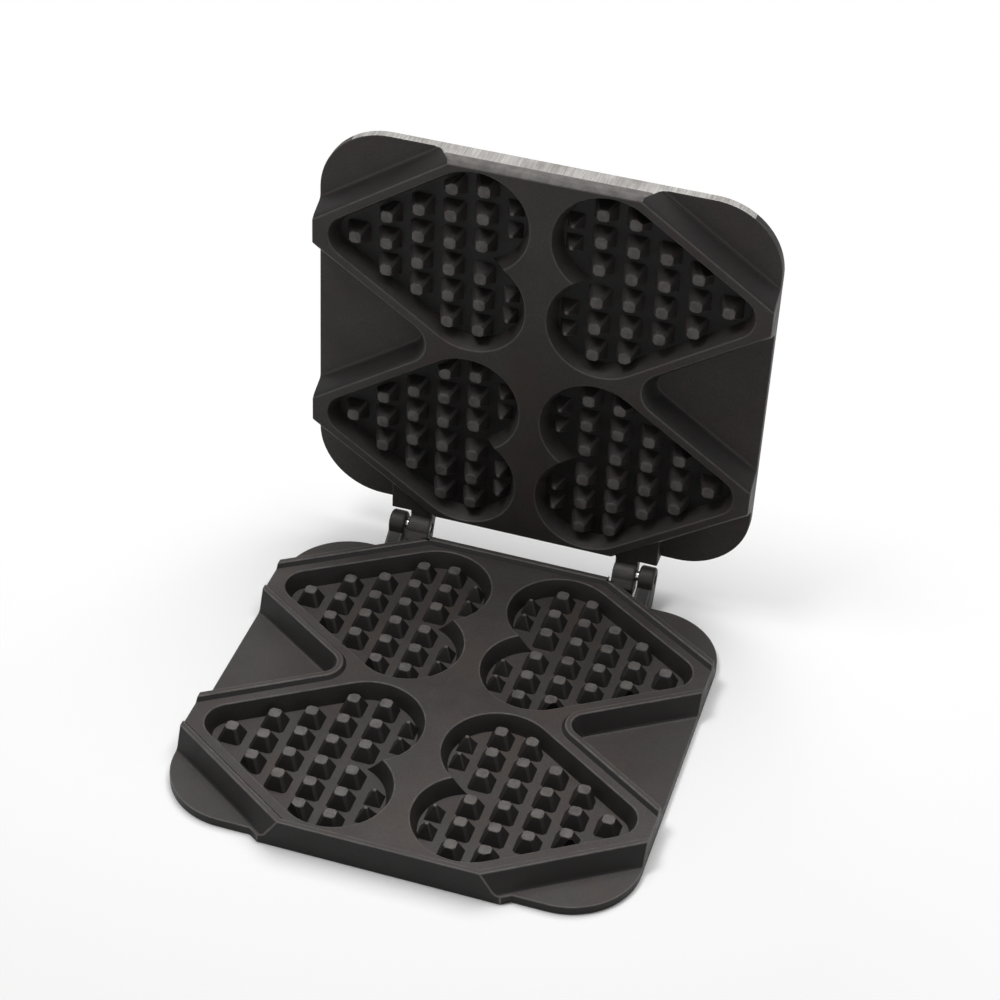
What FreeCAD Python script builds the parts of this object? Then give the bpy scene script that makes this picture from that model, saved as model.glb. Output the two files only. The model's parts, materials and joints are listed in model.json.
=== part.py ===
"""Hinged pair of cast-iron heart waffle plates, open on its stop, in millimetres.

The lower plate lies on its flat back with its centre at the origin, X to the right and Y to the hinge.
Each casting is drawn with its baking face, the land, at height 0 and its back below, then set in place.
"""
import FreeCAD, Part
import math
import os

# Hearts, about their own axis
LOBE_RADIUS = 31.4
LOBE_OFFSET = 25.8         # lobe centre to the heart's axis
TIP_RADIUS = 14.1
SIDE_ANGLE = 34.0          # heart sides and slanted walls, from X
CAVITY_DEPTH = 10.0
CAVITY_DRAFT = 22.0
CENTRE_GAP = 12.0          # left lobes to right lobes
MIDDLE_GAP = 6.6           # front hearts to rear hearts

# Grid of pyramids
GRID_COUNTS = (1, 3, 4, 6)   # columns from the tip inwards
GRID_INSET = 15.1            # heart tip to the first column
GRID_PITCH_X = 18.15
GRID_PITCH_Y = 17.1
LOBE_COUNT = 3               # last column, split between the lobes
LOBE_ROWS = 27.6             # heart's axis to the middle of a lobe's rows
PYRAMID_HEIGHT = 8.0
PYRAMID_BASE = 13.2
PYRAMID_TOP = 6.2
PYRAMID_CORNER = 1.6         # corner cut
SIDE_CHANNEL = 2.3           # foot of a heart's side to the pyramids beside it
SIDE_TRIM = 13.0             # slope of those pyramids along the channel, from upright
STUD_COUNT = 2               # small pointed pyramids at the inner end of each lobe
STUD_INSET = 10.8            # inner end of the lobe to their middle
STUD_PITCH = 13.8
STUD_BASE = 9.6
STUD_TOP = 1.6

# Castings
LAND_BAND = 10.4           # heart side to the outer edge of the rim
TIP_BAND = 9.3             # heart tip to the plate's side
END_BAND = 7.3             # lobe to the front or rear wall of the lower body
FLANGE_THICKNESS = 5.5
CORNER_RADIUS = 40.0       # flange corners
LOWER_LAND_HEIGHT = 16.0   # lower back to its land
UPPER_LAND_HEIGHT = 18.5   # upper back to its land
WALL_DRAFT = 20.0          # slanted walls, from upright
FOOT_COVE = 2.5            # slanted walls into the flange
COVE_STEPS = 2
NOTCH_RADIUS = 2.0         # inner corner of each side notch, at its foot

# Rim of the lower plate and the upper nose inside it
RIM_HEIGHT = 2.5
RIM_WIDTH = 3.1            # flat top
RIM_SLOPE = 2.0            # run of its inner slope
NEST_CLEARANCE = 0.4       # rim to nose
CLOSED_GAP = 0.2           # between the two lands when shut

# Hinge
HINGE_RADIUS = 7.0         # lugs and knuckles
HINGE_RISE = 3.0           # axis above the lower land
HINGE_OFFSET = 9.8         # axis behind the flange
KNUCKLE_INNER = 56.0       # plate centre to the knuckle
KNUCKLE_WIDTH = 13.5
TOE_LENGTH = 12.0          # axis to the end of the knuckle's toe, which stops the swing
TOE_CLEARANCE = 0.3        # toe to the lower plate when open
SIDE_GAP = 2.0             # knuckle to lug
LUG_WIDTH = 9.5
LUG_ROOT = 12.0            # foot of the lug on the flange
BOSS_DEPTH = 18.0          # boss on the upper flange, in from its rear edge
CAST_BEVEL = 1.0           # edges of lugs and knuckles
OPEN_ANGLE = 90.0

# Pins
PIN_RADIUS = 3.0
PIN_CHAMFER = 0.6
PIN_RECESS = 0.8           # pin ends inside the outer faces
PIN_PRESS = 0.01           # interference in the lug
PIN_RUNNING = 0.05         # clearance in the knuckle

OVERSHOOT = 1.0            # cutters past the faces that they open

SIN = math.sin(math.radians(SIDE_ANGLE))
COS = math.cos(math.radians(SIDE_ANGLE))
WALL_RUN = math.tan(math.radians(WALL_DRAFT))
CAVITY_RUN = math.tan(math.radians(CAVITY_DRAFT))

LOBE_X = LOBE_RADIUS + CENTRE_GAP / 2
HEART_AXIS = LOBE_OFFSET + LOBE_RADIUS + MIDDLE_GAP / 2
HEART_REACH = SIN * LOBE_X + COS * LOBE_OFFSET + LOBE_RADIUS
TIP_X = (HEART_REACH - TIP_RADIUS) / SIN
HEART_END = TIP_X + TIP_RADIUS

HALF_WIDTH = HEART_END + TIP_BAND
HALF_BODY = HEART_AXIS + LOBE_OFFSET + LOBE_RADIUS + END_BAND
HALF_FLANGE = HALF_BODY - RIM_WIDTH - NEST_CLEARANCE
WALL_FOOT = (RIM_HEIGHT + LOWER_LAND_HEIGHT - FLANGE_THICKNESS) * WALL_RUN + FOOT_COVE
BOSS_FACE = RIM_HEIGHT + NEST_CLEARANCE

KNUCKLE_OUTER = KNUCKLE_INNER + KNUCKLE_WIDTH
LUG_INNER = KNUCKLE_OUTER + SIDE_GAP
LUG_OUTER = LUG_INNER + LUG_WIDTH
HINGE_Y = HALF_FLANGE + HINGE_OFFSET
HINGE_Z = LOWER_LAND_HEIGHT + HINGE_RISE
UPPER_AXIS = CLOSED_GAP - HINGE_RISE

ORIGIN = FreeCAD.Vector(0, 0, 0)
ALONG_X = FreeCAD.Vector(1, 0, 0)
UP = FreeCAD.Vector(0, 0, 1)


def vec(x, y, z):
    return FreeCAD.Vector(x, y, z)


def moved(shape, offset):
    shape.translate(offset)
    return shape


def both_sides(shape):
    """The shape and its mirror image across the middle plane."""
    return [shape, shape.mirror(ORIGIN, ALONG_X)]


def flat(side):
    """True plane in place of a loft's side between straight edges."""
    corners = [vertex.Point for vertex in side.OuterWire.OrderedVertexes]
    return Part.Face(Part.makePolygon(corners + corners[:1]))


def ruled(sections):
    """Solid with straight rulings through wires of like shape."""
    loft = Part.makeLoft(sections, True, True)
    sides = [flat(side) if isinstance(side.Surface, Part.BSplineSurface) else side for side in loft.Faces]
    shell = Part.Shell(sides)
    shell.sewShape()
    return Part.makeSolid(shell)


def polar(centre, radius, angle, z):
    """Point on a circle in a level plane."""
    return vec(centre[0] + radius * math.cos(angle), centre[1] + radius * math.sin(angle), z)


# Heart cavities

def half_heart(sign, z):
    """Drop outline round one lobe and the tip, drawn in by the cavity's draft at height z."""
    inset = -z * CAVITY_RUN
    lobe = (LOBE_X, sign * LOBE_OFFSET)
    tip = (TIP_X, 0)
    lobe_radius = LOBE_RADIUS - inset
    tip_radius = TIP_RADIUS - inset
    apart = math.hypot(tip[0] - lobe[0], tip[1] - lobe[1])
    heading = math.atan2(tip[1] - lobe[1], tip[0] - lobe[0])
    spread = math.acos((lobe_radius - tip_radius) / apart)
    left = heading + spread
    right = heading - spread
    lobe_left = polar(lobe, lobe_radius, left, z)
    lobe_right = polar(lobe, lobe_radius, right, z)
    tip_left = polar(tip, tip_radius, left, z)
    tip_right = polar(tip, tip_radius, right, z)
    return Part.Wire([
        Part.Arc(lobe_left, polar(lobe, lobe_radius, heading + math.pi, z), lobe_right).toShape(),
        Part.makeLine(lobe_right, tip_right),
        Part.Arc(tip_right, polar(tip, tip_radius, heading, z), tip_left).toShape(),
        Part.makeLine(tip_left, lobe_left),
    ])


def block_outline(x, y, width, cut, z):
    """Square outline, with its corners cut off where a cut is given."""
    far = width / 2
    corner = [(far, far - cut), (far - cut, far)] if cut else [(far, far)]
    points = []
    for cos, sin in ((1, 0), (0, 1), (-1, 0), (0, -1)):
        points += [vec(x + cos * a - sin * b, y + sin * a + cos * b, z) for a, b in corner]
    return Part.makePolygon(points + points[:1])


def pyramid(x, y, base, top, cut):
    """Blunt pyramid standing on the cavity floor, rooted below it with the same slope."""
    taper = (base - top) / PYRAMID_HEIGHT
    root = block_outline(x, y, base + taper * OVERSHOOT, cut, -CAVITY_DEPTH - OVERSHOOT)
    crown = block_outline(x, y, top, cut, PYRAMID_HEIGHT - CAVITY_DEPTH)
    return ruled([root, crown])


def side_wedge(z):
    """Outline between a heart's slanted sides that keeps the side channels open at height z."""
    foot = CAVITY_DEPTH * CAVITY_RUN + SIDE_CHANNEL
    reach = HEART_REACH - foot - (z + CAVITY_DEPTH) * math.tan(math.radians(SIDE_TRIM))
    side = reach / COS
    return Part.makePolygon([vec(reach / SIN, 0, z), vec(0, side, z), vec(0, -side, z), vec(reach / SIN, 0, z)])


def row_places(count, middle, pitch):
    """Evenly spaced places about a middle."""
    return [middle + (row - (count - 1) / 2) * pitch for row in range(count)]


def heart_grid():
    """Pyramids of one heart, cut back along its slanted sides, with small pointed ones in the lobes."""
    first = HEART_END - GRID_INSET
    last = first - len(GRID_COUNTS) * GRID_PITCH_X
    places = [(first - column * GRID_PITCH_X, y) for column, count in enumerate(GRID_COUNTS)
              for y in row_places(count, 0, GRID_PITCH_Y)]
    studs = []
    for middle in (LOBE_ROWS, -LOBE_ROWS):
        places += [(last, y) for y in row_places(LOBE_COUNT, middle, GRID_PITCH_Y)]
        studs += [(CENTRE_GAP / 2 + STUD_INSET, y) for y in row_places(STUD_COUNT, middle, STUD_PITCH)]
    grid = [pyramid(x, y, PYRAMID_BASE, PYRAMID_TOP, PYRAMID_CORNER) for x, y in places]
    grid += [pyramid(x, y, STUD_BASE, STUD_TOP, 0) for x, y in studs]
    wedge = ruled([side_wedge(-CAVITY_DEPTH - 2 * OVERSHOOT), side_wedge(OVERSHOOT)])
    return [block.common(wedge) for block in grid]


def heart_cavities():
    """Cutters for the four hearts of a plate, with the pyramids left standing."""
    lobes = [ruled([half_heart(sign, -CAVITY_DEPTH), half_heart(sign, OVERSHOOT)]) for sign in (1, -1)]
    heart = lobes[0].fuse(lobes[1]).cut(heart_grid())
    hearts = []
    for sign in (1, -1):
        hearts += both_sides(moved(heart.copy(), vec(0, sign * HEART_AXIS, 0)))
    return hearts


# Plate bodies

def body_outline(inset, end, edge, z):
    """Star outline of a body, inset from the rim's outer edge, with its ends and tips cut square."""
    reach = HEART_REACH + LAND_BAND - inset
    corner_x = (reach - COS * (end - HEART_AXIS)) / SIN
    tip = (reach - SIN * edge) / COS
    radius = NOTCH_RADIUS + WALL_FOOT + inset
    notch_x = (reach - COS * HEART_AXIS + radius) / SIN
    edges = []
    ends = []
    for sign in (1, -1):
        front = [vec(sign * corner_x, -end, z),
                 vec(sign * edge, -HEART_AXIS - tip, z),
                 vec(sign * edge, -HEART_AXIS + tip, z),
                 vec(sign * (notch_x - radius * SIN), -radius * COS, z)]
        rear = [vec(point.x, -point.y, z) for point in reversed(front)]
        edges += [Part.makeLine(a, b) for run in (front, rear) for a, b in zip(run, run[1:])]
        edges.append(Part.Arc(front[-1], vec(sign * (notch_x - radius), 0, z), rear[0]).toShape())
        ends.append((front[0], rear[-1]))
    edges += [Part.makeLine(a, b) for a, b in zip(*ends)]
    return Part.Wire(Part.sortEdges(edges)[0])


def wall_sections(back, top, inset, end):
    """Outlines from the back up the coved and drafted wall to height top, inset there."""
    draft = math.radians(WALL_DRAFT)
    flange_top = back + FLANGE_THICKNESS
    sweep = math.pi / 2 - draft
    cove_x = inset - (top - flange_top) * WALL_RUN - FOOT_COVE * math.tan(sweep / 2)
    sections = [body_outline(cove_x, end, HALF_WIDTH, back)]
    for step in range(COVE_STEPS + 1):
        turn = sweep * step / COVE_STEPS
        height = flange_top + FOOT_COVE * (1 - math.cos(turn))
        sections.append(body_outline(cove_x + FOOT_COVE * math.sin(turn), end, HALF_WIDTH, height))
    sections.append(body_outline(inset, end, HALF_WIDTH, top))
    return sections


def flange(back):
    """Flat slab with rounded corners at the back of a plate."""
    slab = Part.makeBox(2 * HALF_WIDTH, 2 * HALF_FLANGE, FLANGE_THICKNESS, vec(-HALF_WIDTH, -HALF_FLANGE, back))
    upright = [edge for edge in slab.Edges if edge.BoundBox.ZLength > FLANGE_THICKNESS / 2]
    return slab.makeFillet(CORNER_RADIUS, upright)


def rim_recess():
    """Space inside the lower rim, open at the tips."""
    foot = RIM_WIDTH + RIM_SLOPE
    above = RIM_WIDTH - RIM_SLOPE * OVERSHOOT / RIM_HEIGHT
    edge = HALF_WIDTH + OVERSHOOT
    return ruled([body_outline(foot, HALF_BODY - foot, edge, 0),
                  body_outline(above, HALF_BODY - above, edge, RIM_HEIGHT + OVERSHOOT)])


def upper_nose():
    """Bevelled top of the upper body, which nests inside the rim."""
    foot = RIM_WIDTH + NEST_CLEARANCE
    tip = foot + RIM_SLOPE
    return ruled([body_outline(foot, HALF_FLANGE, HALF_WIDTH, -RIM_HEIGHT),
                  body_outline(tip, HALF_FLANGE - RIM_SLOPE, HALF_WIDTH, 0)])


# Hinge

def tangent_angle(centre, radius, point):
    """Direction from a circle's centre to where the line from point touches its far side."""
    away = math.atan2(point[1] - centre[1], point[0] - centre[0])
    return away + math.acos(radius / math.dist(centre, point))


def on_profile(centre, radius, angle):
    """Point on a circle in the hinge's side view."""
    return vec(0, centre[0] + radius * math.cos(angle), centre[1] + radius * math.sin(angle))


def drawn_along_x(edges, start, width):
    """Side-view profile drawn out along X, with its end edges bevelled."""
    block = moved(Part.Face(Part.Wire(edges)).extrude(vec(width, 0, 0)), vec(start, 0, 0))
    rims = [edge for edge in block.Edges if edge.BoundBox.XLength < width / 2]
    return block.makeChamfer(CAST_BEVEL, rims)


def lug():
    """Lug of the lower plate, round about the axis and splayed down to the flange."""
    centre = (HINGE_Y, HINGE_RISE)
    back = -LOWER_LAND_HEIGHT
    heel = (HINGE_Y, back)
    front_y = HINGE_Y - HINGE_RADIUS
    root_y = HALF_FLANGE - LUG_ROOT
    points = [on_profile(centre, HINGE_RADIUS, tangent_angle(centre, HINGE_RADIUS, heel)),
              vec(0, *heel),
              vec(0, root_y, back),
              vec(0, root_y, back + FLANGE_THICKNESS),
              vec(0, front_y, 0),
              vec(0, front_y, HINGE_RISE)]
    edges = [Part.makeLine(a, b) for a, b in zip(points, points[1:])]
    over = on_profile(centre, HINGE_RADIUS, math.pi / 2)
    edges.append(Part.Arc(points[-1], over, points[0]).toShape())
    return drawn_along_x(edges, LUG_INNER, LUG_WIDTH)


def knuckle():
    """Knuckle of the upper plate, webbed to the back of its boss, with the toe that stops the swing."""
    centre = (HINGE_Y, UPPER_AXIS)
    front_y = HINGE_Y - HINGE_RADIUS
    foot = (HALF_FLANGE - BOSS_DEPTH / 2, -UPPER_LAND_HEIGHT)
    touch = on_profile(centre, HINGE_RADIUS, tangent_angle(centre, HINGE_RADIUS, foot))
    web_slope = (touch.z - foot[1]) / (touch.y - foot[0])
    toe_y = HINGE_Y + TOE_LENGTH
    toe_z = UPPER_AXIS + HINGE_OFFSET - TOE_CLEARANCE
    points = [vec(0, HINGE_Y, UPPER_AXIS + HINGE_RADIUS),
              vec(0, HINGE_Y + TOE_LENGTH / 3, toe_z),
              vec(0, toe_y, toe_z),
              vec(0, toe_y, touch.z + web_slope * (toe_y - touch.y)),
              vec(0, *foot),
              vec(0, foot[0], -BOSS_FACE),
              vec(0, front_y, -BOSS_FACE),
              vec(0, front_y, UPPER_AXIS)]
    edges = [Part.makeLine(a, b) for a, b in zip(points, points[1:])]
    over = on_profile(centre, HINGE_RADIUS, 3 * math.pi / 4)
    edges.append(Part.Arc(points[-1], over, points[0]).toShape())
    return drawn_along_x(edges, KNUCKLE_INNER, KNUCKLE_WIDTH)


def boss():
    """Block on the upper flange that carries the knuckle."""
    return Part.makeBox(LUG_OUTER - KNUCKLE_INNER, BOSS_DEPTH, UPPER_LAND_HEIGHT - BOSS_FACE,
                        vec(KNUCKLE_INNER, HALF_FLANGE - BOSS_DEPTH, -UPPER_LAND_HEIGHT))


def rod(radius, start, end, axis_z):
    """Cylinder on the hinge axis."""
    return Part.makeCylinder(radius, end - start, vec(start, HINGE_Y, axis_z), ALONG_X)


# Pieces

def lower_plate():
    back = -LOWER_LAND_HEIGHT
    body = ruled(wall_sections(back, RIM_HEIGHT, 0, HALF_BODY))
    plate = flange(back).fuse(body).cut(rim_recess())
    pocket = Part.makeBox(KNUCKLE_WIDTH + SIDE_GAP, HALF_BODY - HALF_FLANGE + OVERSHOOT,
                          LOWER_LAND_HEIGHT + RIM_HEIGHT + 2 * OVERSHOOT,
                          vec(KNUCKLE_INNER - SIDE_GAP / 2, HALF_FLANGE, back - OVERSHOOT))
    bore = rod(PIN_RADIUS - PIN_PRESS, LUG_INNER - OVERSHOOT, LUG_OUTER + OVERSHOOT, HINGE_RISE)
    plate = plate.cut(both_sides(pocket)).fuse(both_sides(lug())).cut(both_sides(bore))
    plate = plate.cut(heart_cavities()).removeSplitter()
    return moved(plate, vec(0, 0, LOWER_LAND_HEIGHT))


def upper_plate():
    back = -UPPER_LAND_HEIGHT
    body = ruled(wall_sections(back, -RIM_HEIGHT, RIM_WIDTH + NEST_CLEARANCE, HALF_FLANGE))
    plate = flange(back).fuse([body, upper_nose()])
    bore = rod(PIN_RADIUS + PIN_RUNNING, KNUCKLE_INNER - OVERSHOOT, KNUCKLE_OUTER + OVERSHOOT, UPPER_AXIS)
    plate = plate.fuse(both_sides(boss()) + both_sides(knuckle())).cut(both_sides(bore))
    plate = plate.cut(heart_cavities()).removeSplitter().mirror(ORIGIN, UP)
    plate = moved(plate, vec(0, 0, LOWER_LAND_HEIGHT + CLOSED_GAP))
    plate.rotate(vec(0, HINGE_Y, HINGE_Z), ALONG_X, -OPEN_ANGLE)
    return plate


def hinge_pin():
    """Right-hand pin, with bevelled ends."""
    pin = rod(PIN_RADIUS, KNUCKLE_INNER + PIN_RECESS, LUG_OUTER - PIN_RECESS, HINGE_Z)
    rims = [edge for edge in pin.Edges if edge.BoundBox.XLength < PIN_CHAMFER]
    return pin.makeChamfer(PIN_CHAMFER, rims)


def main():
    os.makedirs("parts", exist_ok=True)
    right_pin, left_pin = both_sides(hinge_pin())
    pieces = {
        "lower_plate": lower_plate(),
        "upper_plate": upper_plate(),
        "hinge_pin_left": left_pin,
        "hinge_pin_right": right_pin,
    }
    for name, shape in pieces.items():
        shape.exportStep("parts/" + name + ".step")
        box = shape.BoundBox
        print(name, shape.isValid(), len(shape.Solids), "solid", round(shape.Volume), "mm3",
              [round(v, 2) for v in (box.XMin, box.YMin, box.ZMin, box.XMax, box.YMax, box.ZMax)])


main()
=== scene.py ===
"""Hinged cast-iron heart waffle plates on a pale studio floor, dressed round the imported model."""
import itertools
import json
import math
import bmesh
import bpy
from mathutils import Matrix, Vector


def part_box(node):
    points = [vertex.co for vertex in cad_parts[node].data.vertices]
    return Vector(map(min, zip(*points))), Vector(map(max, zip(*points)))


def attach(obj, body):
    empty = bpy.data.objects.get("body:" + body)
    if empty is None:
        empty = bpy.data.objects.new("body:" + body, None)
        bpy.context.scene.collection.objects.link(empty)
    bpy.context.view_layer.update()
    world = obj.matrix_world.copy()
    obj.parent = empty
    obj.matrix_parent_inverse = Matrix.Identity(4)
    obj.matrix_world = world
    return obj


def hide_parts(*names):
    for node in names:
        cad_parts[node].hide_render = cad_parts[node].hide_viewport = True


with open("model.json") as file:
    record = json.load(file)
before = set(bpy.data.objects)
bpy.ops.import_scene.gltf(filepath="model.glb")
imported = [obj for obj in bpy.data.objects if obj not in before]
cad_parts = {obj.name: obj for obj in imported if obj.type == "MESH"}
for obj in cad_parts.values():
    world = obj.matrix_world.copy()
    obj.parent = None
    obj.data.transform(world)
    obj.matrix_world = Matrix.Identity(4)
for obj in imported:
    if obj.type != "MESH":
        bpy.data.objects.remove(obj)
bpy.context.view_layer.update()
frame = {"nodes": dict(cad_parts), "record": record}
HINGE = Vector(frame["record"]["behaviour"]["joints"][0]["pos_m"])

bl_info = {
    "name": "Heart Waffle Plates",
    "version": (1, 0, 0),
    "blender": (4, 5, 0),
    "location": "View3D > Sidebar > Waffle",
    "description": "Dresses a hinged pair of cast-iron heart waffle plates and sets up its studio",
    "category": "Object",
}

# Meshes, with lengths in metres
CORNER_STEPS = 2
ROUND_PROFILE = 0.5
MERGE_DISTANCE = 2e-6
LEVEL_SLACK = 3e-5
ROOT_DEPTH = 0.001
FLAT_ANGLE = math.radians(0.6)
SHARP_ANGLE = math.radians(22)
SMOOTH_ANGLE = math.radians(32)

# Most of a pyramid's top that its rounding and its cut corners take
ROUND_SHARE = 0.25
CORNER_SHARE = 0.3

# Rounding of a pyramid's corners and trimmed edges, as shares of its edges' rounding
BLUNT_SHARE = 0.3
TRIM_SHARE = 0.6

# Where a face of a casting lies, with the land at 0
HEART_INNER = 0.0035
HEART_TIP = 0.122
HEART_HALF = 0.0585
HEART_SIDE = 0.0765
FLANGE_LEVEL = -0.004
GROUND_LEVEL = -0.0078
FRONT_DEPTH = 0.006
KNUCKLE_REACH = 0.0085

# Which way a face looks: its normal along Z, or along Y on the front edge
FLAT_FACING = 0.93
SIDE_FACING = 0.5
TOP_FACING = 0.9
FRONT_FACING = -0.5

# How far a face is rubbed and shaded: 0 is black, partly oil and partly painted shade, FLAT_WEAR is plain
# iron and 1 is bare
FLAT_WEAR = 0.4
# Lands: the standing upper plate's a little darker as painted shade
LAND_WEAR_AND_SHADE = {"lower": 0.4, "upper": 0.34}
FLANGE_WEAR = 0.34
# Heart floors: plain iron on the lower plate, painted black on the upper plate as painted shade between
# its pyramids
FLOOR_WEAR_AND_SHADE = {"lower": 0.4, "upper": 0.0}
# Heart walls and pyramid sides darkened towards black: partly oil, partly painted shade, deepest on the
# lower plate
WALL_OIL_AND_SHADE = {"lower": 0.05, "upper": 0.2}
EDGE_WEAR = {"lower": 0.82, "upper": 0.6}
HINGE_WEAR = 0.12
HINGE_EDGE_WEAR = 0.46
KNUCKLE_WEAR = {"lower": 0.32, "upper": 0.62}
FRONT_WEAR = 0.95
TOP_WEAR = 1.0

# Pyramids in each column of a heart, from its tip to its lobes
COLUMN_COUNTS = (1, 3, 4, 6)
LOBE_COUNT = 3
STUD_COUNT = 2
GRID_SIZES = {
    "Pyramid base": "pyramid_base",
    "Pyramid top": "pyramid_top",
    "Pyramid height": "pyramid_height",
    "Corner cut": "pyramid_corner",
    "Edge round": "pyramid_round",
    "Cavity depth": "cavity_depth",
    "Stud base": "stud_base",
    "Stud top": "stud_top",
    "First column": "first_column",
    "Column pitch": "pitch_x",
    "Row pitch": "pitch_y",
    "Stud column": "stud_x",
    "Lobe rows": "lobe_rows",
    "Stud pitch": "stud_pitch",
    "Heart axis": "heart_axis",
}

# Finishes
IRON_SPECULAR = 0.2
GROUND_METAL = 0.4
GROUND_DULL = 0.5
STEEL_DULL = 0.7
FLOOR_ROUGHNESS = 0.9
FLOOR_SPECULAR = 0.1

# Lamps: width and height, place and the point that each looks at
KEY_LAMP = ((1.3, 1.5), (0.1, 0.58, 1.55), (0.1, 0.58, 0))
FILL_LAMP = ((0.6, 0.5), (-0.62, -0.3, 1.8), (0, 0.05, 0.1))


def length(name, description, default):
    """Length that a user may change."""
    return bpy.props.FloatProperty(name=name, description=description, default=default,
                                   unit="LENGTH", precision=5)


def angle(name, description, degrees):
    """Angle, written in degrees."""
    return bpy.props.FloatProperty(name=name, description=description, default=math.radians(degrees),
                                   subtype="ANGLE", unit="ROTATION")


def share(name, description, default):
    """Share from none to all."""
    return bpy.props.FloatProperty(name=name, description=description, default=default,
                                   min=0, max=1, subtype="FACTOR")


def number(name, description, default):
    """Plain number."""
    return bpy.props.FloatProperty(name=name, description=description, default=default)


def colour(name, description, default):
    """Surface colour."""
    return bpy.props.FloatVectorProperty(name=name, description=description, default=default,
                                         size=3, min=0, max=1, subtype="COLOR")


class WaffleShape(bpy.types.PropertyGroup):
    """Sizes of the castings and their pyramid grid."""
    lower_land: length("Lower land", "Height of the lower baking face", 0.016)
    closed_gap: length("Closed gap", "Gap between the two lands when shut", 0.0002)
    edge_round: length("Edge round", "Rounding of the cast edges", 0.0006)
    cavity_depth: length("Cavity depth", "Land to the heart's floor", 0.010)
    side_angle: angle("Side angle", "Slant of a heart's straight sides", 34)
    side_reach: length("Side reach", "Heart's corner to the pyramids' trimmed feet", 0.06736)
    side_trim: angle("Side trim", "Lean of the pyramids' trimmed faces", 1)
    pyramid_height: length("Pyramid height", "Floor to the pyramid's top", 0.008)
    pyramid_base: length("Pyramid base", "Width of a pyramid at the floor", 0.0134)
    pyramid_top: length("Pyramid top", "Width of a pyramid at its top", 0.0066)
    pyramid_corner: length("Pyramid corner", "Cut across a pyramid's corners", 0.0015)
    pyramid_round: length("Pyramid round", "Rounding of a pyramid's top edges", 0.0005)
    stud_base: length("Stud base", "Width of a small pyramid at the floor", 0.0096)
    stud_top: length("Stud top", "Width of a small pyramid at its top", 0.0018)
    first_column: length("First column", "Plate centre to the column at the heart's tip", 0.1056)
    pitch_x: length("Column pitch", "Column to column", 0.01815)
    pitch_y: length("Row pitch", "Pyramid to pyramid in a column", 0.0171)
    stud_x: length("Stud column", "Plate centre to the small pyramids", 0.0168)
    lobe_rows: length("Lobe rows", "Heart's axis to the middle of a lobe's rows", 0.0276)
    stud_pitch: length("Stud pitch", "Small pyramid to small pyramid", 0.0138)
    heart_axis: length("Heart axis", "Plate centre line to a heart's axis", 0.0605)
    sink: length("Core sink", "Tops of the casting's own pyramids below the grid's", 0.0015)
    hinge_line: length("Hinge line", "Plate centre to the start of the hinge castings", 0.1225)


class WaffleFinish(bpy.types.PropertyGroup):
    """Colours and roughness of the iron and the steel."""
    # Black of oil and of painted shade, on walls, pyramid sides and the upper plate's heart floors
    oil_and_shade_black: colour("Oil and shade black", "Walls and pyramid sides, black from oil and painted shade", (0.0130, 0.0116, 0.0112))
    iron: colour("Seasoned iron", "Flat faces of the oiled casting", (0.034, 0.0301, 0.0292))
    iron_pale: colour("Pale iron", "Lighter patches of the flat faces", (0.078, 0.0705, 0.0680))
    iron_brown: colour("Brown iron", "Rusty oil on the flat faces", (0.062, 0.0415, 0.0335))
    worn: colour("Worn iron", "Rubbed edges and tops", (0.135, 0.126, 0.121))
    ground: colour("Ground iron", "Bare ground faces", (0.43, 0.415, 0.396))
    steel: colour("Pin steel", "Bright turned pins", (0.62, 0.61, 0.60))
    iron_roughness: share("Iron roughness", "Roughness of the oiled casting", 0.47)
    ground_roughness: share("Ground roughness", "Roughness of the ground faces", 0.48)
    steel_roughness: share("Steel roughness", "Roughness of the pins", 0.24)


class WaffleStudio(bpy.types.PropertyGroup):
    """Floor, lamps and camera."""
    floor: colour("Floor", "Floor and backdrop", (0.99, 0.99, 0.99))
    floor_size: length("Floor size", "Width of the floor", 30.0)
    shadow_middle: length("Shadow middle", "Plate centre to the middle of the shaded floor", -0.08)
    shadow_reach: length("Shadow reach", "Distance at which the floor is plain white", 0.46)
    ambient: number("Ambient", "Strength of the surrounding light", 0.104)
    key_power: number("Key power", "Power of the large lamp above, in watts", 23.0)
    fill_power: number("Fill power", "Power of the lamp on the left, in watts", 11.0)
    camera_place: bpy.props.FloatVectorProperty(
        name="Camera place", description="Where the camera stands", default=(0.29058, -0.98912, 0.96141),
        size=3, subtype="XYZ", unit="LENGTH")
    camera_turn: bpy.props.FloatVectorProperty(
        name="Camera turn", description="How the camera is turned",
        default=(math.radians(51.8849), math.radians(-2.4656), math.radians(17.1914)),
        size=3, subtype="EULER", unit="ROTATION")
    lens: number("Lens", "Focal length in millimetres", 91.433)


# Materials

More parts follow.
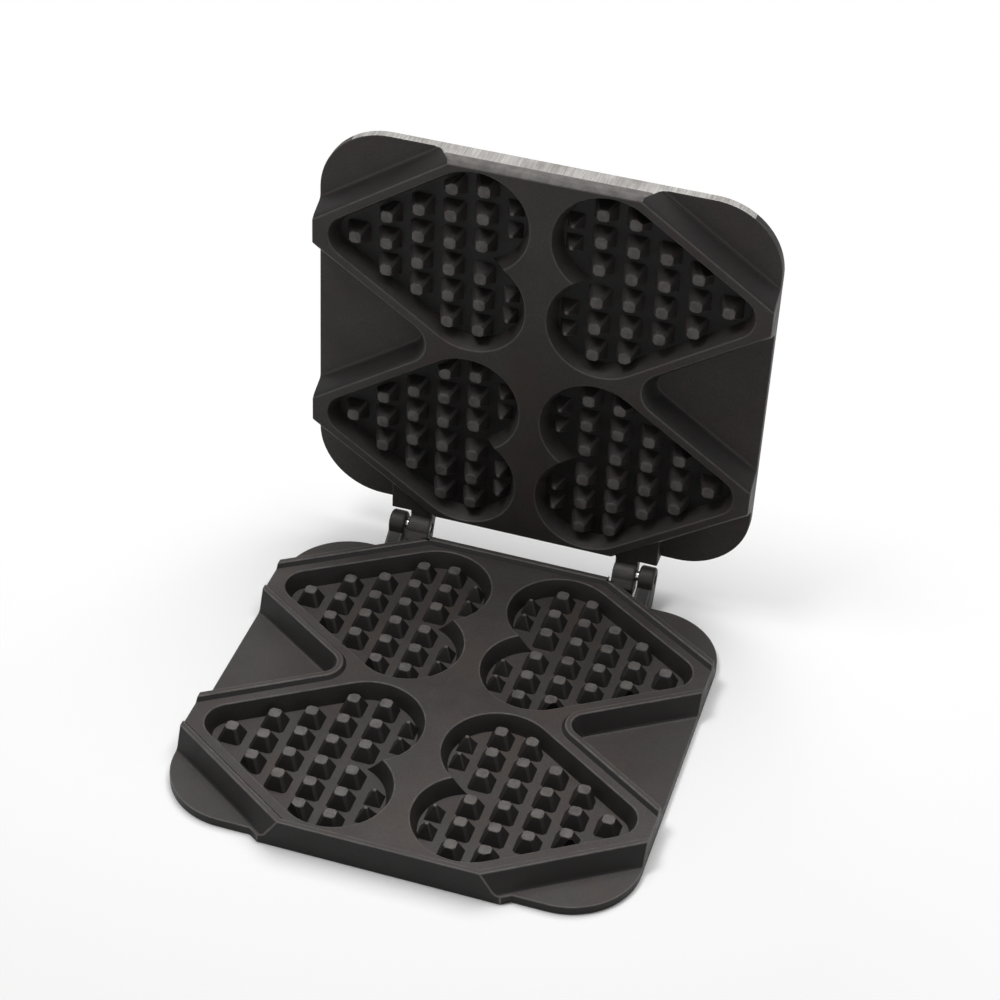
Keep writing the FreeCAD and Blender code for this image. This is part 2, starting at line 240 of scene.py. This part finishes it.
class Nodes:
    """Small helper that adds and joins shader nodes in an emptied tree."""

    def __init__(self, tree):
        self.tree = tree
        self.tree.nodes.clear()

    def add(self, kind, **settings):
        node = self.tree.nodes.new(kind)
        for key, value in settings.items():
            setattr(node, key, value)
        return node

    def join(self, source, target):
        self.tree.links.new(source, target)

    def noise(self, scale, detail=3.0, roughness=0.55, vector=None):
        node = self.add("ShaderNodeTexNoise")
        node.inputs["Scale"].default_value = scale
        node.inputs["Detail"].default_value = detail
        node.inputs["Roughness"].default_value = roughness
        self.join(vector or self.object, node.inputs["Vector"])
        return node.outputs["Fac"]

    def stretched(self, scale):
        """Object coordinates, scaled along each axis."""
        node = self.add("ShaderNodeMapping")
        node.inputs["Scale"].default_value = scale
        self.join(self.object, node.inputs["Vector"])
        return node.outputs["Vector"]

    def span(self, source, low, high, to_low=0.0, to_high=1.0):
        """Linear step from one range to another."""
        node = self.add("ShaderNodeMapRange")
        ends = {"From Min": low, "From Max": high, "To Min": to_low, "To Max": to_high}
        for key, value in ends.items():
            node.inputs[key].default_value = value
        self.join(source, node.inputs["Value"])
        return node.outputs["Result"]

    def product(self, first, second):
        node = self.add("ShaderNodeMath", operation="MULTIPLY")
        self.join(first, node.inputs[0])
        self.join(second, node.inputs[1])
        return node.outputs["Value"]

    def mixed(self, factor, first, second):
        """Colour mix; each colour is a tuple or another node's output."""
        node = self.add("ShaderNodeMix", data_type="RGBA")
        self.join(factor, node.inputs["Factor"])
        for key, value in ((6, first), (7, second)):
            if isinstance(value, tuple):
                node.inputs[key].default_value = (*value, 1)
            else:
                self.join(value, node.inputs[key])
        return node.outputs[2]

    def seen(self):
        """1 on rays that show the background: camera, glossy and transmission."""
        path = self.add("ShaderNodeLightPath")
        total = path.outputs["Is Camera Ray"]
        for key in ("Is Glossy Ray", "Is Transmission Ray"):
            node = self.add("ShaderNodeMath", operation="MAXIMUM")
            self.join(total, node.inputs[0])
            self.join(path.outputs[key], node.inputs[1])
            total = node.outputs["Value"]
        return total

    def attribute(self, name):
        node = self.add("ShaderNodeAttribute", attribute_name=name)
        return node.outputs["Fac"]

    def bump(self, height, strength, distance, under=None):
        node = self.add("ShaderNodeBump")
        node.inputs["Strength"].default_value = strength
        node.inputs["Distance"].default_value = distance
        self.join(height, node.inputs["Height"])
        if under:
            self.join(under, node.inputs["Normal"])
        return node.outputs["Normal"]


class Finish(Nodes):
    """Material with one Principled shader, patterned on Object coordinates."""

    def __init__(self, name):
        self.material = bpy.data.materials.new(name)
        self.material.use_nodes = True
        super().__init__(self.material.node_tree)
        self.shader = self.add("ShaderNodeBsdfPrincipled")
        self.output = self.add("ShaderNodeOutputMaterial")
        self.join(self.shader.outputs["BSDF"], self.output.inputs["Surface"])
        self.object = self.add("ShaderNodeTexCoord").outputs["Object"]

    def put(self, key, value):
        """Feeds an input of the shader from a node's output, or sets it."""
        if isinstance(value, bpy.types.NodeSocket):
            self.join(value, self.shader.inputs[key])
        else:
            self.shader.inputs[key].default_value = value


def oiled_iron(finish):
    """Oiled sand casting: walls and shaded floors darkened towards black, partly oil and partly painted
    shade, paler flats with brown patches, rubbed edges and a fine grain.
    """
    n = Finish("oiled_iron")
    wear_and_shade = n.attribute("wear_and_shade")
    sand = n.noise(scale=1100, roughness=0.7)
    grain = n.span(sand, low=0.3, high=0.7, to_low=0.25)
    patches = n.span(n.noise(scale=22, detail=4), low=0.3, high=0.7, to_low=0.3, to_high=0.9)
    face = n.mixed(n.product(patches, grain), tuple(finish.iron), tuple(finish.iron_pale))
    rusty = n.span(n.noise(scale=34, detail=5, roughness=0.6), low=0.5, high=0.75, to_high=0.6)
    face = n.mixed(rusty, face, tuple(finish.iron_brown))
    # Faces below FLAT_WEAR darken towards black: oil in the hollows and painted shade
    base = n.mixed(n.span(wear_and_shade, low=0, high=FLAT_WEAR), tuple(finish.oil_and_shade_black), face)
    rubbed = n.span(n.noise(scale=140, detail=5, roughness=0.65), low=0.36, high=0.62, to_low=0.35)
    bare = n.product(n.span(wear_and_shade, low=FLAT_WEAR, high=TOP_WEAR), rubbed)
    n.put("Base Color", n.mixed(bare, base, tuple(finish.worn)))
    n.put("Roughness", n.span(n.noise(scale=75, detail=4), low=0.3, high=0.75,
                              to_low=finish.iron_roughness - 0.07, to_high=finish.iron_roughness + 0.1))
    fine = n.bump(sand, strength=0.5, distance=0.0003)
    n.put("Normal", n.bump(n.noise(scale=190, detail=2), strength=0.18, distance=0.0006, under=fine))
    n.put("Specular IOR Level", IRON_SPECULAR)
    return n.material


def ground_iron(finish):
    """Bare iron from the grinder, with fine marks across the edge."""
    n = Finish("ground_iron")
    bright = tuple(finish.ground)
    dull = tuple(value * GROUND_DULL for value in bright)
    marks = n.noise(scale=1, detail=2, roughness=0.5, vector=n.stretched((1900, 60, 60)))
    broad = n.noise(scale=1, roughness=0.6, vector=n.stretched((260, 40, 40)))
    stain = n.span(n.noise(scale=45, detail=4, roughness=0.6), low=0.5, high=0.75, to_high=0.5)
    base = n.mixed(n.span(marks, low=0.3, high=0.7), dull, bright)
    base = n.mixed(n.span(broad, low=0.45, high=0.75, to_high=0.6), base, dull)
    n.put("Base Color", n.mixed(stain, base, tuple(finish.iron_brown)))
    n.put("Roughness", n.span(marks, low=0.25, high=0.75, to_low=finish.ground_roughness - 0.08,
                              to_high=finish.ground_roughness + 0.14))
    n.put("Normal", n.bump(marks, strength=0.25, distance=0.0002))
    n.put("Metallic", GROUND_METAL)
    return n.material


def turned_steel(finish):
    """Bright turned steel with fine rings along the pin."""
    n = Finish("turned_steel")
    bright = tuple(finish.steel)
    dull = tuple(value * STEEL_DULL for value in bright)
    rings = n.noise(scale=1, detail=2, roughness=0.5, vector=n.stretched((2600, 30, 30)))
    n.put("Base Color", n.mixed(n.span(rings, low=0.3, high=0.7), dull, bright))
    n.put("Roughness", n.span(rings, low=0.3, high=0.7, to_low=finish.steel_roughness - 0.06,
                              to_high=finish.steel_roughness + 0.1))
    n.put("Normal", n.bump(rings, strength=0.12, distance=0.0001))
    n.put("Metallic", 1.0)
    return n.material


def material(name):
    """The named finish, made once."""
    finishes = {"oiled_iron": oiled_iron, "ground_iron": ground_iron, "turned_steel": turned_steel}
    return bpy.data.materials.get(name) or finishes[name](bpy.context.scene.waffle_finish)


# Places

def lower_place(shape):
    """Casting coordinates, with the land at 0, to the lower plate."""
    return Matrix.Translation((0, 0, shape.lower_land))


def upper_place(shape):
    """Casting coordinates to the upper plate, turned over and swung open on the hinge."""
    land = Matrix.Translation((0, 0, shape.lower_land + shape.closed_gap))
    shut = land @ Matrix.Rotation(math.pi, 4, "Y")
    swing = Matrix.Rotation(-math.pi / 2, 4, "X")
    return Matrix.Translation(HINGE) @ swing @ Matrix.Translation(-HINGE) @ shut


def new_piece(name, mesh):
    """Object at the origin."""
    piece = bpy.data.objects.new(name, mesh)
    bpy.context.scene.collection.objects.link(piece)
    return piece


def unique(items):
    """Items once each in their own order, so that every run gives the same mesh."""
    return list(dict.fromkeys(items))


def even_shading(piece):
    """Keeps broad faces flat beside their rounded edges."""
    weighted = piece.modifiers.new("even_shading", "WEIGHTED_NORMAL")
    weighted.keep_sharp = True


def finish_piece(piece, body):
    """Joins a piece to its body."""
    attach(piece, body)
    return piece


# Castings

def in_heart(point, shape):
    """True for a point of a heart's cavity, walls included."""
    x = abs(point.x)
    y = abs(abs(point.y) - shape.heart_axis)
    if point.z > -LEVEL_SLACK or y > HEART_HALF or not HEART_INNER < x < HEART_TIP:
        return False
    return x * math.sin(shape.side_angle) + y * math.cos(shape.side_angle) < HEART_SIDE


def round_edges(bm, shape, body, axis):
    """Rounds the outer cast edges, apart from the cavities', and marks how far each face is rubbed, with
    painted shade on the hearts' walls, the upper plate's heart floors and its land.
    """
    wear_and_shade = bm.faces.layers.float.new("wear_and_shade")
    bm.normal_update()
    sharp = []
    for edge in bm.edges:
        outer = len(edge.link_faces) == 2 and edge.is_convex and edge.calc_face_angle(0) >= SHARP_ANGLE
        if outer and not any(in_heart(vert.co, shape) for vert in edge.verts):
            sharp.append(edge)
    made = bmesh.ops.bevel(bm, geom=sharp, offset=shape.edge_round, offset_type="OFFSET",
                           segments=CORNER_STEPS, profile=ROUND_PROFILE, affect="EDGES",
                           clamp_overlap=False)
    bm.normal_update()
    rounded = set(made["faces"])
    for face in bm.faces:
        centre = face.calc_center_median()
        if (centre - axis).yz.length < KNUCKLE_REACH:
            face[wear_and_shade] = KNUCKLE_WEAR[body]
        elif centre.y > shape.hinge_line:
            face[wear_and_shade] = HINGE_EDGE_WEAR if face in rounded else HINGE_WEAR
        elif face in rounded:
            face[wear_and_shade] = EDGE_WEAR[body]
        # Heart floors and walls: wear, oil and painted shade
        elif in_heart(centre, shape):
            face[wear_and_shade] = FLOOR_WEAR_AND_SHADE[body] if face.normal.z > FLAT_FACING else WALL_OIL_AND_SHADE[body]
        # Flat lands and flanges; the upper land a little darker as painted shade
        elif abs(face.normal.z) > FLAT_FACING:
            face[wear_and_shade] = FLANGE_WEAR if centre.z < FLANGE_LEVEL else LAND_WEAR_AND_SHADE[body]


def front_faces(bm):
    """Faces of the plate's front edge."""
    bm.normal_update()
    front = min(vert.co.y for vert in bm.verts)
    return [face for face in bm.faces
            if face.normal.y < FRONT_FACING and face.calc_center_median().y < front + FRONT_DEPTH]


def split_front(bm):
    """Divides the front edge where the ground strip begins."""
    faces = front_faces(bm)
    edges = unique(edge for face in faces for edge in face.edges)
    verts = unique(vert for face in faces for vert in face.verts)
    bmesh.ops.bisect_plane(bm, geom=[*faces, *edges, *verts], dist=MERGE_DISTANCE,
                           plane_co=(0, 0, GROUND_LEVEL), plane_no=(0, 0, 1))


def grind_front(bm):
    """Bares the front edge, bright along the back and rubbed grey along the land."""
    wear_and_shade = bm.faces.layers.float["wear_and_shade"]
    for face in front_faces(bm):
        if face.calc_center_median().z < GROUND_LEVEL:
            face.material_index = 1
        else:
            face[wear_and_shade] = FRONT_WEAR


def casting(name, node, body, place, shape):
    """Copy of a plate with rounded edges, in place of its plain solid."""
    bm = bmesh.new()
    bm.from_mesh(frame["nodes"][node].data)
    bmesh.ops.transform(bm, matrix=place.inverted(), verts=bm.verts)
    bmesh.ops.remove_doubles(bm, verts=bm.verts, dist=MERGE_DISTANCE)
    bmesh.ops.dissolve_limit(bm, angle_limit=FLAT_ANGLE, verts=bm.verts, edges=bm.edges)
    crown = shape.pyramid_height - shape.cavity_depth
    for vert in bm.verts:
        if abs(vert.co.z - crown) < LEVEL_SLACK:
            vert.co.z -= shape.sink
    if body == "upper":
        split_front(bm)
    round_edges(bm, shape, body, place.inverted() @ HINGE)
    for face in bm.faces:
        face.smooth = True
    if body == "upper":
        grind_front(bm)
    bmesh.ops.transform(bm, matrix=place, verts=bm.verts)
    low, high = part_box(node)
    for vert in bm.verts:
        vert.co = [min(max(value, a), b) for value, a, b in zip(vert.co, low, high)]
    mesh = bpy.data.meshes.new(name)
    bm.to_mesh(mesh)
    bm.free()
    mesh.attributes.remove(mesh.attributes["custom_normal"])
    mesh.materials.append(material("oiled_iron"))
    mesh.materials.append(material("ground_iron"))
    mesh.set_sharp_from_angle(angle=SMOOTH_ANGLE)
    piece = new_piece(name, mesh)
    even_shading(piece)
    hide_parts(node)
    return finish_piece(piece, body)


class WAFFLE_OT_castings(bpy.types.Operator):
    """Dress the lower and upper castings with rounded edges and seasoned iron"""
    bl_idname = "waffle.castings"
    bl_label = "Castings"

    def execute(self, context):
        shape = context.scene.waffle_shape
        casting("lower_casting", "lower_plate", "lower", lower_place(shape), shape)
        casting("upper_casting", "upper_plate", "upper", upper_place(shape), shape)
        return {"FINISHED"}


# Pyramid grid

class Geometry:
    """Small helper that adds and joins geometry nodes."""

    def __init__(self, name, sizes):
        self.tree = bpy.data.node_groups.new(name, "GeometryNodeTree")
        self.tree.interface.new_socket("Geometry", in_out="OUTPUT", socket_type="NodeSocketGeometry")
        for key in sizes:
            self.tree.interface.new_socket(key, in_out="INPUT", socket_type="NodeSocketFloat")
        self.input = self.add("NodeGroupInput").outputs

    def add(self, kind, links=(), **settings):
        """New node; links are pairs of an input's key and a value or another node's output."""
        node = self.tree.nodes.new(kind)
        for key, value in settings.items():
            setattr(node, key, value)
        for key, value in links:
            if isinstance(value, bpy.types.NodeSocket):
                self.tree.links.new(value, node.inputs[key])
            else:
                node.inputs[key].default_value = value
        return node

    def math(self, operation, first, second=0.0):
        return self.add("ShaderNodeMath", ((0, first), (1, second)), operation=operation).outputs[0]

    def vector(self, operation, first, second=(0, 0, 0)):
        return self.add("ShaderNodeVectorMath", ((0, first), (1, second)), operation=operation).outputs[0]

    def xyz(self, x, y, z):
        return self.add("ShaderNodeCombineXYZ", (("X", x), ("Y", y), ("Z", z))).outputs[0]

    def split(self, vector):
        return self.add("ShaderNodeSeparateXYZ", ((0, vector),)).outputs

    def joined(self, parts):
        node = self.add("GeometryNodeJoinGeometry")
        for part in parts:
            self.tree.links.new(part, node.inputs[0])
        return node.outputs[0]

    def instances(self, points, instance, turn=(0, 0, 0)):
        links = (("Points", points), ("Instance", instance), ("Rotation", turn))
        return self.add("GeometryNodeInstanceOnPoints", links).outputs[0]

    def line(self, count, x, y, step):
        """Row of points along Y, centred on y."""
        start = self.math("SUBTRACT", y, self.math("MULTIPLY", step, (count - 1) / 2))
        first = self.xyz(x, start, 0.0)
        links = (("Count", count), ("Start Location", first), ("Offset", self.xyz(0.0, step, 0.0)))
        return self.add("GeometryNodeMeshLine", links, mode="OFFSET").outputs[0]


def blunt_pyramid(g, base, top):
    """Blunt pyramid with rounded edges, its top at the grid's crown and its root below the floor."""
    height = g.input["Pyramid height"]
    edge = g.math("MINIMUM", g.input["Edge round"], g.math("MULTIPLY", top, ROUND_SHARE))
    corner = g.math("MINIMUM", g.input["Corner cut"], g.math("MULTIPLY", top, CORNER_SHARE))
    half_high = g.math("MULTIPLY", g.math("ADD", height, ROOT_DEPTH), 0.5)
    half_wide = g.math("MULTIPLY", top, 0.5)
    counts = [("Vertices " + axis, 4) for axis in "XYZ"]
    cube = g.add("GeometryNodeMeshCube", [("Size", (2, 2, 2)), *counts])
    place = g.add("GeometryNodeInputPosition").outputs[0]
    sign = g.vector("SIGN", place)
    outer = g.vector("FLOOR", g.vector("ADD", g.vector("ABSOLUTE", place), (0.5, 0.5, 0.5)))
    on_x, on_y, on_z = g.split(outer)
    inner = g.vector("SUBTRACT", g.xyz(half_wide, half_wide, half_high), g.xyz(corner, corner, edge))
    sides = g.math("MAXIMUM", g.math("ADD", on_x, on_y), 1.0)
    worn_off = g.math("MULTIPLY", edge, BLUNT_SHARE)
    spread = g.math("SUBTRACT", g.math("DIVIDE", corner, sides), g.math("MULTIPLY", worn_off, on_z))
    rise = g.math("SUBTRACT", edge, g.math("MULTIPLY", worn_off, g.math("MAXIMUM", on_x, on_y)))
    swell = g.vector("MULTIPLY", outer, g.xyz(spread, spread, rise))
    block = g.vector("MULTIPLY", sign, g.vector("ADD", inner, swell))
    below = g.math("SUBTRACT", half_high, g.split(block)["Z"])
    slope = g.math("DIVIDE", g.math("SUBTRACT", base, top), g.math("MULTIPLY", height, 2.0))
    widen = g.math("MULTIPLY", below, slope)
    tapered = g.vector("ADD", block, g.vector("MULTIPLY", sign, g.xyz(widen, widen, 0.0)))
    crown = g.math("SUBTRACT", g.math("SUBTRACT", height, g.input["Cavity depth"]), half_high)
    placed = g.vector("ADD", tapered, g.xyz(0.0, 0.0, crown))
    links = (("Geometry", cube.outputs["Mesh"]), ("Position", placed))
    shaped = g.add("GeometryNodeSetPosition", links).outputs[0]
    # Tops rubbed bright; sides darkened by the side input, partly oil and partly painted shade
    facing = g.split(g.add("GeometryNodeInputNormal").outputs[0])["Z"]
    links = (("Value", facing), ("From Min", SIDE_FACING), ("From Max", TOP_FACING),
             ("To Min", g.input["Side oil and shade"]), ("To Max", TOP_WEAR))
    rubbed = g.add("ShaderNodeMapRange", links).outputs[0]
    links = (("Geometry", shaped), ("Name", "wear_and_shade"), ("Value", rubbed))
    return g.add("GeometryNodeStoreNamedAttribute", links, data_type="FLOAT", domain="FACE").outputs[0]


def grid_tree(iron):
    """Tree that lays out the columns of one heart, its small pyramids and the four hearts of a plate."""
    g = Geometry("pyramid_grid", (*GRID_SIZES, "Side oil and shade"))
    size = g.input

    def column_x(column):
        steps = g.math("MULTIPLY", size["Column pitch"], float(column))
        return g.math("SUBTRACT", size["First column"], steps)

    columns = [g.line(count, column_x(column), 0.0, size["Row pitch"])
               for column, count in enumerate(COLUMN_COUNTS)]
    last = column_x(len(COLUMN_COUNTS))
    studs = []
    for side in (1.0, -1.0):
        middle = g.math("MULTIPLY", size["Lobe rows"], side)
        columns.append(g.line(LOBE_COUNT, last, middle, size["Row pitch"]))
        studs.append(g.line(STUD_COUNT, size["Stud column"], middle, size["Stud pitch"]))
    pyramid = blunt_pyramid(g, size["Pyramid base"], size["Pyramid top"])
    stud = blunt_pyramid(g, size["Stud base"], size["Stud top"])
    heart = g.joined([g.instances(g.joined(columns), pyramid), g.instances(g.joined(studs), stud)])
    axes = g.line(2, 0.0, 0.0, g.math("MULTIPLY", size["Heart axis"], 2.0))
    plate = g.joined([g.instances(axes, heart, (0, 0, turn)) for turn in (0, math.pi)])
    loose = g.add("GeometryNodeRealizeInstances", (("Geometry", plate),)).outputs[0]
    painted = g.add("GeometryNodeSetMaterial", (("Geometry", loose), ("Material", iron))).outputs[0]
    g.add("NodeGroupOutput", ((0, painted),))
    return g.tree


def trim_sides(mesh, shape):
    """Cuts the pyramids back along the slanted sides of their hearts."""
    bm = bmesh.new()
    bm.from_mesh(mesh)
    wear_and_shade = bm.faces.layers.float["wear_and_shade"]
    for tip, row, side in itertools.product((1, -1), repeat=3):
        foot = row * shape.heart_axis + side * shape.side_reach / math.cos(shape.side_angle)
        outward = (tip * math.sin(shape.side_angle), side * math.cos(shape.side_angle))
        lean = Vector((*outward, math.tan(shape.side_trim))).normalized()
        verts = [vert for vert in bm.verts if vert.co.x * tip > 0 and vert.co.y * row > 0]
        edges = unique(edge for vert in verts for edge in vert.link_edges)
        faces = unique(face for vert in verts for face in vert.link_faces)
        cut = bmesh.ops.bisect_plane(bm, geom=[*verts, *edges, *faces], dist=MERGE_DISTANCE,
                                     plane_co=(0, foot, -shape.cavity_depth), plane_no=lean,
                                     clear_outer=True)
        loops = [item for item in cut["geom_cut"] if isinstance(item, bmesh.types.BMEdge)]
        filled = bmesh.ops.holes_fill(bm, edges=loops, sides=0)["faces"]
        rims = unique(edge for face in filled for edge in face.edges)
        made = bmesh.ops.bevel(bm, geom=rims, offset=shape.pyramid_round * TRIM_SHARE,
                               offset_type="OFFSET", segments=1, profile=ROUND_PROFILE,
                               affect="EDGES", clamp_overlap=True)
        for face in made["faces"]:
            face[wear_and_shade] = TOP_WEAR
    bmesh.ops.recalc_face_normals(bm, faces=bm.faces)
    bm.to_mesh(mesh)
    bm.free()


def pyramid_grid(name, body, place, tree, shape):
    """Plain mesh of a plate's pyramids, made by the tree and set on the casting."""
    maker = new_piece(name + "_maker", bpy.data.meshes.new(name + "_maker"))
    modifier = maker.modifiers.new("grid", "NODES")
    modifier.node_group = tree
    inputs = {key: getattr(shape, size) for key, size in GRID_SIZES.items()}
    # Pyramid sides darkened like the walls: partly oil, partly painted shade
    inputs["Side oil and shade"] = WALL_OIL_AND_SHADE[body]
    for item in tree.interface.items_tree:
        if item.in_out == "INPUT":
            modifier[item.identifier] = inputs[item.name]
    evaluated = maker.evaluated_get(bpy.context.evaluated_depsgraph_get())
    mesh = bpy.data.meshes.new_from_object(evaluated)
    bpy.data.objects.remove(maker)
    mesh.name = name
    trim_sides(mesh, shape)
    mesh.transform(place)
    # The tree's material stands after an empty slot
    mesh.polygons.foreach_set("material_index", [0] * len(mesh.polygons))
    mesh.materials.clear()
    mesh.materials.append(material("oiled_iron"))
    piece = new_piece(name, mesh)
    return finish_piece(piece, body)


class WAFFLE_OT_grids(bpy.types.Operator):
    """Set the pyramid grids into the hearts of both plates"""
    bl_idname = "waffle.grids"
    bl_label = "Pyramid grids"

    def execute(self, context):
        shape = context.scene.waffle_shape
        tree = grid_tree(material("oiled_iron"))
        pyramid_grid("lower_grid", "lower", lower_place(shape), tree, shape)
        pyramid_grid("upper_grid", "upper", upper_place(shape), tree, shape)
        return {"FINISHED"}


# Hinge pins

class WAFFLE_OT_pins(bpy.types.Operator):
    """Give the hinge pins their turned steel"""
    bl_idname = "waffle.pins"
    bl_label = "Hinge pins"

    def execute(self, context):
        for node in ("hinge_pin_left", "hinge_pin_right"):
            piece = frame["nodes"][node]
            piece.data.materials.clear()
            piece.data.materials.append(material("turned_steel"))
        return {"FINISHED"}


# Stage

def lamp(name, power, size, place, target):
    """Soft rectangular lamp."""
    data = bpy.data.lights.new(name, "AREA")
    data.energy = power
    data.shape = "RECTANGLE"
    data.size, data.size_y = size
    rig = bpy.data.objects.new(name, data)
    rig.location = place
    rig.rotation_euler = (Vector(target) - Vector(place)).to_track_quat("-Z", "Y").to_euler()
    bpy.context.scene.collection.objects.link(rig)


def floor_white(studio):
    """Pale floor that keeps a soft shadow near the front of the plates and is painted white further off,
    hiding the shadow there.
    """
    n = Finish("floor_white")
    n.put("Base Color", (*studio.floor, 1))
    n.put("Roughness", FLOOR_ROUGHNESS)
    n.put("Specular IOR Level", FLOOR_SPECULAR)
    glow = n.add("ShaderNodeEmission")
    blend = n.add("ShaderNodeMixShader")
    distance = n.add("ShaderNodeVectorMath", operation="DISTANCE")
    distance.inputs[1].default_value = (0, studio.shadow_middle, 0)
    n.join(n.object, distance.inputs[0])
    # Painted white for camera and glossy rays, covering the floor's shadow away from the front of the
    # plates
    white = n.span(distance.outputs["Value"], studio.shadow_reach / 2, studio.shadow_reach)
    n.join(n.product(n.seen(), white), blend.inputs["Fac"])
    n.join(n.shader.outputs["BSDF"], blend.inputs[1])
    n.join(glow.outputs["Emission"], blend.inputs[2])
    n.join(blend.outputs["Shader"], n.output.inputs["Surface"])
    return n.material


def white_world(studio):
    """Surroundings that are plain white to see and weaker as light."""
    world = bpy.data.worlds.new("studio")
    world.use_nodes = True
    n = Nodes(world.node_tree)
    background = n.add("ShaderNodeBackground")
    background.inputs["Color"].default_value = (1, 1, 1, 1)
    n.join(n.span(n.seen(), 0.0, 1.0, studio.ambient, 1.0), background.inputs["Strength"])
    output = n.add("ShaderNodeOutputWorld")
    n.join(background.outputs["Background"], output.inputs["Surface"])
    bpy.context.scene.world = world


class WAFFLE_OT_stage(bpy.types.Operator):
    """Lay the floor, hang the lamps and stand the camera"""
    bl_idname = "waffle.stage"
    bl_label = "Stage"

    def execute(self, context):
        studio = context.scene.waffle_studio
        half = studio.floor_size / 2
        mesh = bpy.data.meshes.new("floor")
        corners = [(-half, -half, 0), (half, -half, 0), (half, half, 0), (-half, half, 0)]
        mesh.from_pydata(corners, [], [(0, 1, 2, 3)])
        mesh.materials.append(floor_white(studio))
        new_piece("floor", mesh)
        white_world(studio)
        lamp("key", studio.key_power, *KEY_LAMP)
        lamp("fill", studio.fill_power, *FILL_LAMP)
        data = bpy.data.cameras.new("camera")
        data.lens = studio.lens
        camera = bpy.data.objects.new("camera", data)
        camera.location = studio.camera_place
        camera.rotation_euler = studio.camera_turn
        context.scene.collection.objects.link(camera)
        context.scene.camera = camera
        context.scene.view_settings.view_transform = "Standard"
        return {"FINISHED"}


# Add-on

class WAFFLE_PT_sidebar(bpy.types.Panel):
    """Sizes, finishes and build steps of the waffle plates"""
    bl_label = "Heart Waffle Plates"
    bl_idname = "WAFFLE_PT_sidebar"
    bl_space_type = "VIEW_3D"
    bl_region_type = "UI"
    bl_category = "Waffle"

    def draw(self, context):
        for operator in OPERATORS:
            self.layout.operator(operator.bl_idname)
        for name in GROUPS:
            group = getattr(context.scene, name)
            box = self.layout.box()
            for key in group.bl_rna.properties.keys():
                if key not in ("rna_type", "name"):
                    box.prop(group, key)


OPERATORS = (WAFFLE_OT_castings, WAFFLE_OT_grids, WAFFLE_OT_pins, WAFFLE_OT_stage)
GROUPS = {"waffle_shape": WaffleShape, "waffle_finish": WaffleFinish, "waffle_studio": WaffleStudio}


def register():
    for group in GROUPS.values():
        bpy.utils.register_class(group)
    for operator in OPERATORS:
        bpy.utils.register_class(operator)
    bpy.utils.register_class(WAFFLE_PT_sidebar)
    for key, group in GROUPS.items():
        setattr(bpy.types.Scene, key, bpy.props.PointerProperty(type=group))


def unregister():
    for key in GROUPS:
        delattr(bpy.types.Scene, key)
    bpy.utils.unregister_class(WAFFLE_PT_sidebar)
    for operator in reversed(OPERATORS):
        bpy.utils.unregister_class(operator)
    for group in reversed(GROUPS.values()):
        bpy.utils.unregister_class(group)


def main():
    register()
    bpy.ops.waffle.castings()
    bpy.ops.waffle.grids()
    bpy.ops.waffle.pins()
    bpy.ops.waffle.stage()


if __name__ == "__main__":
    main()
